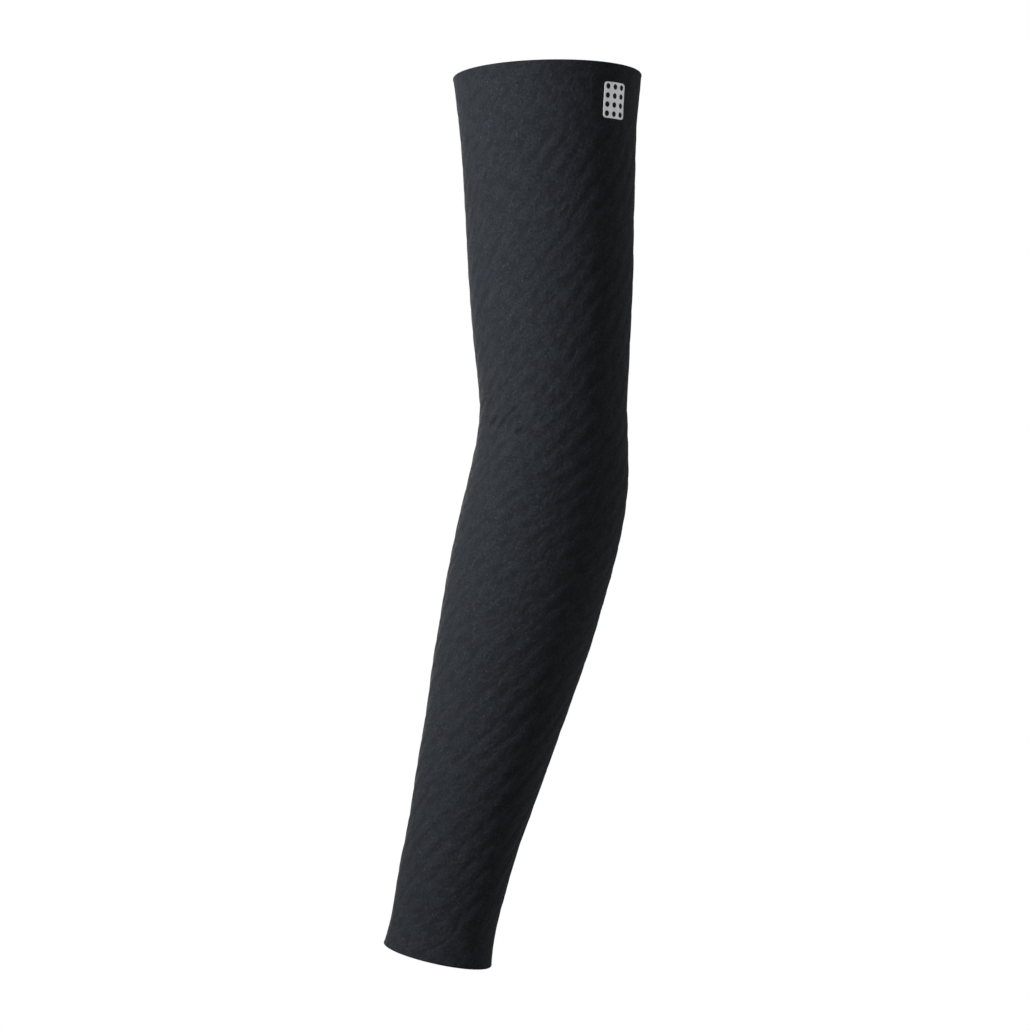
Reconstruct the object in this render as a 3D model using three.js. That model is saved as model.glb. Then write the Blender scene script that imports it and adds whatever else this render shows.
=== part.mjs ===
// Arm compression sleeve for a left arm, in the form that it has when it is worn with the elbow a little
// bent. Millimetres. +Z points up to the shoulder, +X to the side of the elbow point, -X to the side of the
// elbow crook, -Y out of the outer side of the arm and +Y to the body. The origin is the middle of the upper
// opening.

import * as THREE from 'three';
import { mergeVertices } from 'three/addons/utils/BufferGeometryUtils.js';

// Lengths along the middle of the arm, from rim to elbow crook and from there to the lower rim
const UPPER_ARM_LENGTH = 155;
const FOREARM_LENGTH = 266;

// Widths across the arm, from the side of the crook to the side of the elbow point
const UPPER_RIM_WIDTH = 89;
const UPPER_ARM_WIDTH = 80;
const ELBOW_WIDTH = 70;
const FOREARM_WIDTH = 76;
const WRIST_WIDTH = 50;
const LOWER_RIM_WIDTH = 52;

// How the arm hangs, in degrees: the lean of the upper arm and the bend of the elbow
const UPPER_ARM_LEAN = -1.1;
const ELBOW_BEND = 14.6;

// The cloth
const KNIT_WALL = 1.2;
const BAND_WALL = 1.4;
const UPPER_BAND_HEIGHT = 26.5;
const LOWER_BAND_HEIGHT = 15.5;
const RIM_BEAD = 0.15;
const PIECE_GAP = 0.3;

// The slanting ribs: their spacing square to them, how high they stand, how steeply they rise in degrees,
// the length over which they die out next to a plain band, and how near the seam a crest or valley may come,
// as a share of the step from one to the other
const RIB_SPACING = 7.6;
const RIB_HEIGHT = 0.5;
const RIB_SLANT = 55;
const RIB_FADE = 6;
const RIB_SEAM_MARGIN = 0.25;

// The flat seam down the side next to the body, where the ribs of the two edges meet: its width, how high it
// stands and how much of its width is flat
const SEAM_WIDTH = 6;
const SEAM_HEIGHT = 0.35;
const SEAM_FLAT_SHARE = 0.75;

// The pierced reflective mark near the upper rim: its size, how many degrees round from the front and how far
// below the rim its middle is, its holes, and how far out its rounded corners reach as a share of square ones
const MARK_WIDTH = 13;
const MARK_HEIGHT = 16.4;
const MARK_TURN = 45;
const MARK_DROP = 17;
const MARK_THICKNESS = 0.3;
const MARK_HOLE = 2.6;
const MARK_HOLE_COLUMNS = 3;
const MARK_HOLE_ROWS = 4;
const MARK_CORNER_REACH = 0.78;

// Sections of the arm. along is a share of the stretch's length, width a share of the size beside it, depth a
// share of the section's own width, keel how much less deep it is at the elbow point than at its middle, turn a
// share of the elbow's bend and slant a share of the ribs' slant
const UPPER_ARM_SECTIONS = [
  { along: 0.00, size: UPPER_RIM_WIDTH, width: 1.000, depth: 0.96, keel: 0.00, turn: 0.00, slant: 1.00 },
  { along: 0.07, size: UPPER_ARM_WIDTH, width: 1.082, depth: 0.96, keel: 0.00, turn: 0.00, slant: 1.00 },
  { along: 0.14, size: UPPER_ARM_WIDTH, width: 1.052, depth: 0.96, keel: 0.00, turn: 0.00, slant: 1.00 },
  { along: 0.25, size: UPPER_ARM_WIDTH, width: 1.021, depth: 0.97, keel: 0.00, turn: 0.00, slant: 1.00 },
  { along: 0.38, size: UPPER_ARM_WIDTH, width: 1.001, depth: 0.97, keel: 0.00, turn: 0.00, slant: 0.99 },
  { along: 0.62, size: UPPER_ARM_WIDTH, width: 0.966, depth: 0.98, keel: 0.02, turn: 0.00, slant: 0.95 },
  { along: 0.80, size: UPPER_ARM_WIDTH, width: 0.924, depth: 0.99, keel: 0.04, turn: 0.00, slant: 0.91 },
  { along: 0.92, size: UPPER_ARM_WIDTH, width: 0.887, depth: 1.00, keel: 0.07, turn: 0.00, slant: 0.85 },
];
const FOREARM_SECTIONS = [
  { along: 0.000, size: ELBOW_WIDTH, width: 0.990, depth: 1.01, keel: 0.11, turn: 0.03, slant: 0.80 },
  { along: 0.030, size: ELBOW_WIDTH, width: 0.998, depth: 1.01, keel: 0.14, turn: 0.14, slant: 0.79 },
  { along: 0.070, size: FOREARM_WIDTH, width: 0.940, depth: 1.00, keel: 0.18, turn: 0.31, slant: 0.79 },
  { along: 0.125, size: FOREARM_WIDTH, width: 0.980, depth: 0.99, keel: 0.22, turn: 0.57, slant: 0.79 },
  { along: 0.200, size: FOREARM_WIDTH, width: 1.003, depth: 0.98, keel: 0.17, turn: 0.93, slant: 0.83 },
  { along: 0.280, size: FOREARM_WIDTH, width: 0.998, depth: 0.97, keel: 0.09, turn: 1.00, slant: 0.89 },
  { along: 0.400, size: FOREARM_WIDTH, width: 0.955, depth: 0.96, keel: 0.06, turn: 1.01, slant: 0.97 },
  { along: 0.550, size: FOREARM_WIDTH, width: 0.859, depth: 0.95, keel: 0.04, turn: 1.03, slant: 1.04 },
  { along: 0.700, size: FOREARM_WIDTH, width: 0.758, depth: 0.94, keel: 0.00, turn: 1.09, slant: 1.07 },
  { along: 0.790, size: WRIST_WIDTH, width: 1.066, depth: 0.93, keel: 0.00, turn: 1.03, slant: 1.07 },
  { along: 0.870, size: WRIST_WIDTH, width: 1.026, depth: 0.92, keel: 0.00, turn: 0.94, slant: 1.07 },
  { along: 0.935, size: WRIST_WIDTH, width: 0.996, depth: 0.92, keel: 0.00, turn: 0.81, slant: 1.07 },
  { along: 0.972, size: WRIST_WIDTH, width: 1.008, depth: 0.92, keel: 0.00, turn: 0.84, slant: 1.07 },
  { along: 1.000, size: LOWER_RIM_WIDTH, width: 1.000, depth: 0.92, keel: 0.00, turn: 0.92, slant: 1.07 },
];

// How finely the shapes are cut: the spacing of the corners round a band and of its rows, the corners round
// the inner wall and the spacing of its rows, rows of the ribbed wall per rib, steps of the rounded rim,
// corners of each cell of the mark, and the step of the middle line
const BAND_CORNER_SPACING = 5;
const BAND_ROW_SPACING = 7;
const INNER_CORNERS = 32;
const INNER_ROW_SPACING = 14;
const ROWS_PER_RIB = 2;
const RIM_STEPS = 5;
const CELL_CORNERS = 8;
const STATION_STEP = 1;

const KNIT_COLOUR = 0x27292d;
const MARK_COLOUR = 0xc9cbcd;

const SLEEVE_LENGTH = UPPER_ARM_LENGTH + FOREARM_LENGTH;

// An order that comes after every rib's phase
const BEYOND_RIBS = 1e6;

// All sections in one list, with places and sizes in millimetres and angles in radians
const SECTIONS = [
  ...UPPER_ARM_SECTIONS.map((row) => sizedSection(row, 0, UPPER_ARM_LENGTH)),
  ...FOREARM_SECTIONS.map((row) => sizedSection(row, UPPER_ARM_LENGTH, FOREARM_LENGTH)),
];
const STATIONS = walkMiddleLine();

function sizedSection(row, start, length) {
  const halfWidth = (row.width * row.size) / 2;
  return {
    down: start + row.along * length,
    halfWidth,
    halfDepth: halfWidth * row.depth,
    keel: row.keel,
    lean: THREE.MathUtils.degToRad(UPPER_ARM_LEAN + row.turn * ELBOW_BEND),
    slant: THREE.MathUtils.degToRad(row.slant * RIB_SLANT),
  };
}

// A smooth value between the sections: a cubic through its neighbours, with the slope of their chord
function smoothValue(column, down) {
  const last = SECTIONS.length - 1;
  const next = SECTIONS.findIndex((section, i) => i > 0 && section.down >= down);
  const upper = (next < 0 ? last : next) - 1;
  const [a, b] = [SECTIONS[upper], SECTIONS[upper + 1]];
  const slopeAt = (i) => {
    const [before, after] = [SECTIONS[Math.max(i - 1, 0)], SECTIONS[Math.min(i + 1, last)]];
    return (after[column] - before[column]) / (after.down - before.down);
  };
  const span = b.down - a.down;
  const t = THREE.MathUtils.clamp((down - a.down) / span, 0, 1);
  const rise = t * t * (3 - 2 * t);
  const startPull = t * (1 - t) * (1 - t) * span * slopeAt(upper);
  const endPull = t * t * (1 - t) * span * slopeAt(upper + 1);
  return a[column] * (1 - rise) + b[column] * rise + startPull - endPull;
}

// Stations down the middle line, each with its place, its lean and the rib pattern's phase at the front
function walkMiddleLine() {
  const steps = Math.ceil(SLEEVE_LENGTH / STATION_STEP);
  const step = SLEEVE_LENGTH / steps;
  const stations = [{ x: 0, z: 0, phase: 0 }];
  for (let i = 0; i < steps; i += 1) {
    const lean = smoothValue('lean', (i + 0.5) * step);
    const slant = smoothValue('slant', (i + 0.5) * step);
    const { x, z, phase } = stations[i];
    stations.push({
      x: x - step * Math.sin(lean),
      z: z - step * Math.cos(lean),
      phase: phase + (2 * Math.PI * step * Math.cos(slant)) / RIB_SPACING,
    });
  }
  return stations;
}

// Everything about the sleeve at one distance down its middle line
function sleeveAt(down) {
  const place = (down / SLEEVE_LENGTH) * (STATIONS.length - 1);
  const i = THREE.MathUtils.clamp(Math.floor(place), 0, STATIONS.length - 2);
  const [above, below] = [STATIONS[i], STATIONS[i + 1]];
  const halfWidth = smoothValue('halfWidth', down);
  const halfDepth = smoothValue('halfDepth', down);
  return {
    x: THREE.MathUtils.lerp(above.x, below.x, place - i),
    z: THREE.MathUtils.lerp(above.z, below.z, place - i),
    phase: THREE.MathUtils.lerp(above.phase, below.phase, place - i),
    lean: smoothValue('lean', down),
    slant: smoothValue('slant', down),
    keel: smoothValue('keel', down),
    halfWidth,
    halfDepth,
    radius: (halfWidth + halfDepth) / 2,
  };
}

// A point at an angle round the sleeve, 0 at the front and positive to the elbow point, lifted off its surface
function surfacePoint(at, angle, lift) {
  const across = (at.halfWidth + lift) * Math.sin(angle);
  const halfDepth = at.halfDepth * (1 - at.keel * Math.sin(angle));
  const back = -(halfDepth + lift) * Math.cos(angle);
  return new THREE.Vector3(
    at.x + across * Math.cos(at.lean),
    back,
    at.z - across * Math.sin(at.lean),
  );
}

// A solid that is built from rows of corners, each row running once round the sleeve from seam to seam
class RowSolid {
  constructor() {
    this.points = [];
    this.faces = [];
  }

  // order is what two rows are matched by: the angle, or on the ribs their phase
  corner(at, angle, lift, order = angle) {
    this.points.push(surfacePoint(at, angle, lift));
    return { index: this.points.length - 1, angle, order };
  }

  // The seam's middle is the first and the last corner of a row, because the row closes there
  closed(row) {
    return [...row, { ...row[0], angle: Math.PI, order: -row[0].order }];
  }

  // Triangles between two neighbouring rows, taking a step along whichever row's next corner comes first
  zip(first, second, key = 'angle') {
    let [i, j] = [0, 0];
    while (i < first.length - 1 || j < second.length - 1) {
      const secondIsDone = j === second.length - 1;
      const stepFirst = secondIsDone || (i < first.length - 1 && first[i + 1][key] <= second[j + 1][key]);
      if (stepFirst) {
        this.faces.push(first[i].index, second[j].index, first[i + 1].index);
        i += 1;
      } else {
        this.faces.push(first[i].index, second[j].index, second[j + 1].index);
        j += 1;
      }
    }
  }

  geometry() {
    const geometry = new THREE.BufferGeometry().setFromPoints(this.points);
    geometry.setIndex(this.faces);
    geometry.computeVertexNormals();
    return geometry;
  }
}

// The seam's corners on the side where a row ends: its middle, its raised edge and its foot. The ones where a
// row starts mirror them.
function seamCorners(radius, height) {
  const half = SEAM_WIDTH / 2 / radius;
  return [
    { angle: Math.PI, lift: height, order: 3 * BEYOND_RIBS },
    { angle: Math.PI - SEAM_FLAT_SHARE * half, lift: height, order: 2 * BEYOND_RIBS },
    { angle: Math.PI - half, lift: 0, order: BEYOND_RIBS },
  ];
}

// A row across the ribbed wall: one corner on each crest and one in each valley, so that the ribs slant from
// row to row, and the seam's corners at both ends
function ribbedRow(solid, down, ribStart, ribEnd) {
  const at = sleeveAt(down);
  const seam = seamCorners(at.radius, SEAM_HEIGHT);
  const edge = seam[2].angle;
  const phasePerRadian = (2 * Math.PI * at.radius * Math.sin(at.slant)) / RIB_SPACING;
  const fromEnd = Math.min(down - ribStart, ribEnd - down);
  const strength = THREE.MathUtils.smoothstep(fromEnd, 0, RIB_FADE);
  const row = seam.map(({ angle, lift, order }) => solid.corner(at, -angle, lift, -order));
  const firstRib = Math.ceil((at.phase - edge * phasePerRadian) / Math.PI + RIB_SEAM_MARGIN);
  const lastRib = Math.floor((at.phase + edge * phasePerRadian) / Math.PI - RIB_SEAM_MARGIN);
  for (let n = firstRib; n <= lastRib; n += 1) {
    const angle = (n * Math.PI - at.phase) / phasePerRadian;
    const lift = (n % 2 === 0 ? 0.5 : -0.5) * RIB_HEIGHT * strength;
    row.push(solid.corner(at, angle, lift, n * Math.PI));
  }
  for (const { angle, lift, order } of [seam[2], seam[1]]) {
    row.push(solid.corner(at, angle, lift, order));
  }
  return solid.closed(row);
}

// A plain row of evenly spaced corners, with or without the seam
function plainRow(solid, down, lift, corners, seamHeight = null) {
  const at = sleeveAt(down);
  if (seamHeight === null) {
    const even = Array.from({ length: corners }, (_, i) => (2 * Math.PI * i) / corners - Math.PI);
    return solid.closed(even.map((angle) => solid.corner(at, angle, lift)));
  }
  const seam = seamCorners(at.radius, seamHeight);
  const edge = seam[2].angle;
  const even = Array.from({ length: corners - 1 }, (_, i) => ((2 * (i + 1)) / corners - 1) * edge);
  const row = [
    ...seam.map((corner) => solid.corner(at, -corner.angle, lift + corner.lift)),
    ...even.map((angle) => solid.corner(at, angle, lift)),
    ...[seam[2], seam[1]].map((corner) => solid.corner(at, corner.angle, lift + corner.lift)),
  ];
  return solid.closed(row);
}

// The ribbed tube between the two plain bands
function sleeveBody() {
  const solid = new RowSolid();
  const start = UPPER_BAND_HEIGHT + PIECE_GAP;
  const end = SLEEVE_LENGTH - LOWER_BAND_HEIGHT - PIECE_GAP;
  const ribStep = RIB_SPACING / Math.cos(THREE.MathUtils.degToRad(RIB_SLANT));
  const rows = Math.ceil(((end - start) * ROWS_PER_RIB) / ribStep);
  const outer = Array.from({ length: rows + 1 }, (_, i) => (
    ribbedRow(solid, THREE.MathUtils.lerp(start, end, i / rows), start, end)
  ));
  const innerSteps = Math.ceil((end - start) / INNER_ROW_SPACING);
  const inner = Array.from({ length: innerSteps + 1 }, (_, i) => (
    plainRow(solid, THREE.MathUtils.lerp(end, start, i / innerSteps), -KNIT_WALL, INNER_CORNERS)
  ));
  for (let i = 0; i < rows; i += 1) {
    solid.zip(outer[i], outer[i + 1], 'order');
  }
  solid.zip(outer[rows], inner[0]);
  for (let i = 0; i < innerSteps; i += 1) {
    solid.zip(inner[i], inner[i + 1]);
  }
  solid.zip(inner[innerSteps], outer[0]);
  return solid.geometry();
}

// A plain band. Its profile goes down the outer wall to the joint, back up the inner wall and over the rounded
// rim, each point with its distance from the rim. On the lower band the rim is below, so the profile is taken
// the other way round.
function plainBand(height, rimDown, rimIsBelow) {
  const solid = new RowSolid();
  const bead = BAND_WALL / 2 + RIM_BEAD;
  const steps = Math.ceil(height / BAND_ROW_SPACING);
  const profile = [];
  for (let i = 0; i <= steps; i += 1) {
    profile.push({ fromRim: THREE.MathUtils.lerp(2 * bead, height, i / steps), lift: 0, seam: SEAM_HEIGHT });
  }
  for (let i = steps; i >= 0; i -= 1) {
    profile.push({ fromRim: THREE.MathUtils.lerp(2 * bead, height, i / steps), lift: -BAND_WALL, seam: 0 });
  }
  for (let i = 0; i <= RIM_STEPS; i += 1) {
    const turn = (Math.PI * i) / RIM_STEPS;
    const lift = -BAND_WALL / 2 - bead * Math.cos(turn);
    profile.push({ fromRim: bead * (1 - Math.sin(turn)), lift, seam: 0 });
  }
  const corners = Math.ceil((2 * Math.PI * sleeveAt(rimDown).radius) / BAND_CORNER_SPACING);
  const ordered = rimIsBelow ? profile.reverse() : profile;
  const rows = ordered.map(({ fromRim, lift, seam }) => (
    plainRow(solid, rimIsBelow ? rimDown - fromRim : rimDown + fromRim, lift, corners, seam)
  ));
  rows.forEach((row, i) => solid.zip(row, rows[(i + 1) % rows.length]));
  return solid.geometry();
}

// The eight corners of one pierced cell of the mark, on the cell's edge and round its hole, counter-clockwise
// from the right. On a corner of the mark the cell's own corner is drawn in, which rounds the mark.
function markCell(column, row) {
  const [halfWidth, halfHeight] = [MARK_WIDTH / MARK_HOLE_COLUMNS / 2, MARK_HEIGHT / MARK_HOLE_ROWS / 2];
  const x = (2 * column + 1 - MARK_HOLE_COLUMNS) * halfWidth;
  const y = (2 * row + 1 - MARK_HOLE_ROWS) * halfHeight;
  const isEndColumn = (side) => column === (side > 0 ? MARK_HOLE_COLUMNS - 1 : 0);
  const isEndRow = (side) => row === (side > 0 ? MARK_HOLE_ROWS - 1 : 0);
  return Array.from({ length: CELL_CORNERS }, (_, k) => {
    const turn = (2 * Math.PI * k) / CELL_CORNERS;
    const [right, up] = [Math.round(Math.cos(turn)), Math.round(Math.sin(turn))];
    const isMarkCorner = right * up !== 0 && isEndColumn(right) && isEndRow(up);
    const reach = isMarkCorner ? MARK_CORNER_REACH : 1;
    return {
      edge: new THREE.Vector2(x + right * halfWidth * reach, y + up * halfHeight * reach),
      hole: new THREE.Vector2(x + (Math.cos(turn) * MARK_HOLE) / 2, y + (Math.sin(turn) * MARK_HOLE) / 2),
    };
  });
}

// The mark: a plate of pierced cells with its own rim, bent to lie on the upper band
function reflectiveMark() {
  const places = [];
  const place = (flat, height) => {
    const at = sleeveAt(MARK_DROP - flat.y);
    const angle = THREE.MathUtils.degToRad(MARK_TURN) + flat.x / at.radius;
    return surfacePoint(at, angle, PIECE_GAP + height);
  };
  const quad = (a, b, c, d) => places.push(a, b, c, a, c, d);
  for (let column = 0; column < MARK_HOLE_COLUMNS; column += 1) {
    for (let row = 0; row < MARK_HOLE_ROWS; row += 1) {
      const isRim = [column === MARK_HOLE_COLUMNS - 1, row === MARK_HOLE_ROWS - 1, column === 0, row === 0];
      const corners = markCell(column, row).map(({ edge, hole }) => ({
        edge: [place(edge, 0), place(edge, MARK_THICKNESS)],
        hole: [place(hole, 0), place(hole, MARK_THICKNESS)],
      }));
      corners.forEach((one, k) => {
        const next = corners[(k + 1) % CELL_CORNERS];
        const side = Math.floor(((k + 1) % CELL_CORNERS) / 2);
        quad(one.edge[1], next.edge[1], next.hole[1], one.hole[1]);
        quad(one.hole[0], next.hole[0], next.edge[0], one.edge[0]);
        quad(one.hole[1], next.hole[1], next.hole[0], one.hole[0]);
        if (isRim[side]) {
          quad(next.edge[1], one.edge[1], one.edge[0], next.edge[0]);
        }
      });
    }
  }
  const merged = mergeVertices(new THREE.BufferGeometry().setFromPoints(places));
  merged.computeVertexNormals();
  return merged;
}

function piece(name, geometry, material) {
  const mesh = new THREE.Mesh(geometry, material);
  mesh.name = name;
  return mesh;
}

const knit = new THREE.MeshStandardMaterial({ color: KNIT_COLOUR, roughness: 0.92, metalness: 0 });
const film = new THREE.MeshStandardMaterial({ color: MARK_COLOUR, roughness: 0.4, metalness: 0 });

const armSleeve = new THREE.Group();
armSleeve.add(
  piece('sleeve_body', sleeveBody(), knit),
  piece('upper_band', plainBand(UPPER_BAND_HEIGHT, 0, false), knit),
  piece('lower_band', plainBand(LOWER_BAND_HEIGHT, SLEEVE_LENGTH, true), knit),
  piece('reflective_mark', reflectiveMark(), film),
);

export default armSleeve;
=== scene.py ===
"""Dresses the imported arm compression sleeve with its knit, its seam thread and its reflective patch, and
sets a plain studio round it. Lengths are metres and angles radians, in the frame's own axes: +Z up to the
shoulder, +X to the side of the elbow point, -X to the side of its crook, -Y out of the arm's outer side."""
import math
from collections import namedtuple

import bmesh
import bpy
import numpy as np
from bpy.props import FloatProperty, FloatVectorProperty, IntProperty, PointerProperty
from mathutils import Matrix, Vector


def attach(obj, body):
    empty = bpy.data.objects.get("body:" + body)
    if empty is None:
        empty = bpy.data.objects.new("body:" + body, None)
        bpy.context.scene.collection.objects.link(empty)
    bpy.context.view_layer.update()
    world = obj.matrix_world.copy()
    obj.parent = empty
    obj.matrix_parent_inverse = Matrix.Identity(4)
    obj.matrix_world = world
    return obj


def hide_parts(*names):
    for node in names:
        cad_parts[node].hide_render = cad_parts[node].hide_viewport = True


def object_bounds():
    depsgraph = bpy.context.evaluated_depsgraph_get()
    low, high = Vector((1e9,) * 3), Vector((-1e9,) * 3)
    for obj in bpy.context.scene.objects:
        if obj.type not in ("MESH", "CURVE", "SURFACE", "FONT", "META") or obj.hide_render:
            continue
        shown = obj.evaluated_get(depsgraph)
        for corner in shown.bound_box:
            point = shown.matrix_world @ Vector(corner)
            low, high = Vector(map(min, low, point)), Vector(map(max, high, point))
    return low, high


bl_info = {
    "name": "Arm compression sleeve",
    "version": (1, 0, 0),
    "blender": (4, 5, 0),
    "location": "View3D > Sidebar > Arm sleeve",
    "description": "Knit tube, bands, seam thread and reflective patch of an arm sleeve, with a studio",
    "category": "Object",
}

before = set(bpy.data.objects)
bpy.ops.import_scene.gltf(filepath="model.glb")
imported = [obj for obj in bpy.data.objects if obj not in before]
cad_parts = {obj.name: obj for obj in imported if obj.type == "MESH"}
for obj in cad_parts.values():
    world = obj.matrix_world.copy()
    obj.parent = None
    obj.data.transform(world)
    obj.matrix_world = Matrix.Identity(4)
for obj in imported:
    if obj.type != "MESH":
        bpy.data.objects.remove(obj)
CAD_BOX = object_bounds()
BODY = "root"
PANEL_TAB = "Arm sleeve"
MM = 0.001
TAU = 2 * math.pi

# Sections of the arm. along is a share of the stretch's length, width a share of the size beside it, depth
# a share of the section's own width, keel how much less deep it is at the elbow point than at its middle,
# turn a share of the elbow's bend and slant a share of the ribs' slant.
Section = namedtuple("Section", "along size width depth keel turn slant")
UPPER_ARM_SECTIONS = (
    Section(0.00, "upper_rim_width", 1.000, 0.96, 0.00, 0.00, 1.00),
    Section(0.07, "upper_arm_width", 1.082, 0.96, 0.00, 0.00, 1.00),
    Section(0.14, "upper_arm_width", 1.052, 0.96, 0.00, 0.00, 1.00),
    Section(0.25, "upper_arm_width", 1.021, 0.97, 0.00, 0.00, 1.00),
    Section(0.38, "upper_arm_width", 1.001, 0.97, 0.00, 0.00, 0.99),
    Section(0.62, "upper_arm_width", 0.966, 0.98, 0.02, 0.00, 0.95),
    Section(0.80, "upper_arm_width", 0.924, 0.99, 0.04, 0.00, 0.91),
    Section(0.92, "upper_arm_width", 0.887, 1.00, 0.07, 0.00, 0.85),
)
FOREARM_SECTIONS = (
    Section(0.000, "elbow_width", 0.990, 1.01, 0.11, 0.03, 0.80),
    Section(0.030, "elbow_width", 0.998, 1.01, 0.14, 0.14, 0.79),
    Section(0.070, "forearm_width", 0.940, 1.00, 0.18, 0.31, 0.79),
    Section(0.125, "forearm_width", 0.980, 0.99, 0.22, 0.57, 0.79),
    Section(0.200, "forearm_width", 1.003, 0.98, 0.17, 0.93, 0.83),
    Section(0.280, "forearm_width", 0.998, 0.97, 0.09, 1.00, 0.89),
    Section(0.400, "forearm_width", 0.955, 0.96, 0.06, 1.01, 0.97),
    Section(0.550, "forearm_width", 0.859, 0.95, 0.04, 1.03, 1.04),
    Section(0.700, "forearm_width", 0.758, 0.94, 0.00, 1.09, 1.07),
    Section(0.790, "wrist_width", 1.066, 0.93, 0.00, 1.03, 1.07),
    Section(0.870, "wrist_width", 1.026, 0.92, 0.00, 0.94, 1.07),
    Section(0.935, "wrist_width", 0.996, 0.92, 0.00, 0.81, 1.07),
    Section(0.972, "wrist_width", 1.008, 0.92, 0.00, 0.84, 1.07),
    Section(1.000, "lower_rim_width", 1.000, 0.92, 0.00, 0.92, 1.07),
)
MIDDLE_LINE_STEP = 1 * MM

# How finely the cloth is cut: columns round the sleeve, those over the seam, the spacing of the rows and
# the rows of a rounded rim. The random net has so many corners along each side.
CLOTH_COLUMNS = 216
SEAM_COLUMNS = 14
OUTER_ROW_SPACING = 1.15 * MM
INNER_ROW_SPACING = 8 * MM
RIM_ROWS = 12
NOISE_NET = 256


def metres(description, default):
    """A length that can be changed in the scene."""
    return FloatProperty(description=description, default=default, unit="LENGTH")


def degrees(description, default):
    """An angle that can be changed in the scene, given here in degrees."""
    return FloatProperty(description=description, default=math.radians(default), subtype="ANGLE")


def watts(description, default):
    """A light's power that can be changed in the scene."""
    return FloatProperty(description=description, default=default, unit="POWER")


def rgba(description, default):
    """A colour that can be changed in the scene."""
    return FloatVectorProperty(description=description, default=default, subtype="COLOR", size=4)


def labelled(group):
    """Labels each setting of a group with the setting's own name in words."""
    for name, setting in group.__annotations__.items():
        setting.keywords["name"] = name.replace("_", " ").capitalize()
    return group


@labelled
class SleeveSizes(bpy.types.PropertyGroup):
    """The sleeve's own sizes, which are the solids' sizes."""

    upper_arm_length: metres("Along the middle, from the upper rim to the elbow crook", 0.155)
    forearm_length: metres("Along the middle, from the elbow crook to the lower rim", 0.266)
    upper_rim_width: metres("Across the upper opening", 0.089)
    upper_arm_width: metres("Across the upper arm", 0.080)
    elbow_width: metres("Across the elbow, at its crook", 0.070)
    forearm_width: metres("Across the thickest part of the forearm", 0.076)
    wrist_width: metres("Across the wrist", 0.050)
    lower_rim_width: metres("Across the lower opening", 0.052)
    upper_arm_lean: degrees("How the upper arm leans to the crook's side", -1.1)
    elbow_bend: degrees("Bend of the elbow", 14.6)
    knit_wall: metres("Thickness of the ribbed knit", 1.2 * MM)
    band_wall: metres("Thickness of the plain bands", 1.4 * MM)
    upper_band_height: metres("From the upper rim to the ribs", 26.65 * MM)
    lower_band_height: metres("From the ribs to the lower rim", 15.65 * MM)
    rim_bead: metres("How far the rounded rims stand proud of their wall", 0.15 * MM)
    seam_width: metres("Width of the flat seam", 6 * MM)
    seam_height: metres("How high the flat seam stands", 0.35 * MM)


@labelled
class KnitLook(bpy.types.PropertyGroup):
    """The knit's relief and colours."""

    rib_spacing: metres("From crest to crest, square to the ribs", 7.6 * MM)
    rib_height: metres("From valley to crest", 0.24 * MM)
    rib_slant: degrees("How steeply the ribs rise", 55)
    rib_fade: metres("Length over which the ribs die out towards a rim", 22 * MM)
    wale: metres("Width of one column of stitches", 0.80 * MM)
    course: metres("Height of one row of stitches", 0.62 * MM)
    yarn: rgba("Colour of the yarn", (0.0290, 0.0338, 0.0425, 1))
    shade: rgba("Colour between the stitches", (0.0135, 0.0158, 0.0205, 1))
    fleck: rgba("Colour of the pale flecks in the yarn", (0.100, 0.106, 0.115, 1))
    thread: rgba("Colour of the seam's thread", (0.034, 0.036, 0.041, 1))
    film: rgba("Colour of the reflective film", (0.62, 0.635, 0.65, 1))


@labelled
class PatchSizes(bpy.types.PropertyGroup):
    """The pierced reflective patch on the upper band."""

    width: metres("Round the arm", 13 * MM)
    height: metres("Along the arm", 16.4 * MM)
    turn: degrees("How far round from the front its middle is", 45)
    drop: metres("How far below the rim its middle is", 17 * MM)
    thickness: metres("Thickness of the film", 0.3 * MM)
    hole: metres("Width of a hole", 2.6 * MM)
    columns: IntProperty(description="Holes side by side", default=3)
    rows: IntProperty(description="Holes above each other", default=4)


@labelled
class StageLook(bpy.types.PropertyGroup):
    """The studio: key, side and rear lights, soft surroundings, floor and camera."""

    key_azimuth: degrees("Where the key light stands, from the front toward +X", -53)
    key_height: degrees("Height of the key light above the horizon", 20)
    key_distance: metres("From the sleeve's middle", 0.6)
    key_size: metres("Width of the key light", 0.10)
    key_power: watts("Power of the key light", 3.9)
    far_distance: metres("Of the side and rear lights from the sleeve's middle", 1.0)
    far_size: metres("Width of the side and rear lights", 0.6)
    side_azimuth: degrees("Where the side light stands, from the front toward +X", 112)
    side_power: watts("Power of the side light", 0.5)
    rear_azimuth: degrees("Where the rear light stands, from the front toward +X", 190)
    rear_power: watts("Power of the rear light", 6.0)
    front_fill: FloatProperty(
        description="Brightness of the surroundings on the camera's side", default=0.22)
    back_fill: FloatProperty(description="Brightness of the surroundings behind the sleeve", default=0.30)
    floor_height: metres("Where the floor lies", -1.4)
    floor_radius: metres("Size of the floor", 3.0)
    camera_distance: metres("From the sleeve's middle plane", 1.1)
    camera_side: metres("Where the camera stands along X", -0.0152)
    camera_height: metres("Where the camera stands along Z", -0.207)
    lens: FloatProperty(description="Focal length in millimetres", default=81.4)


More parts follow.
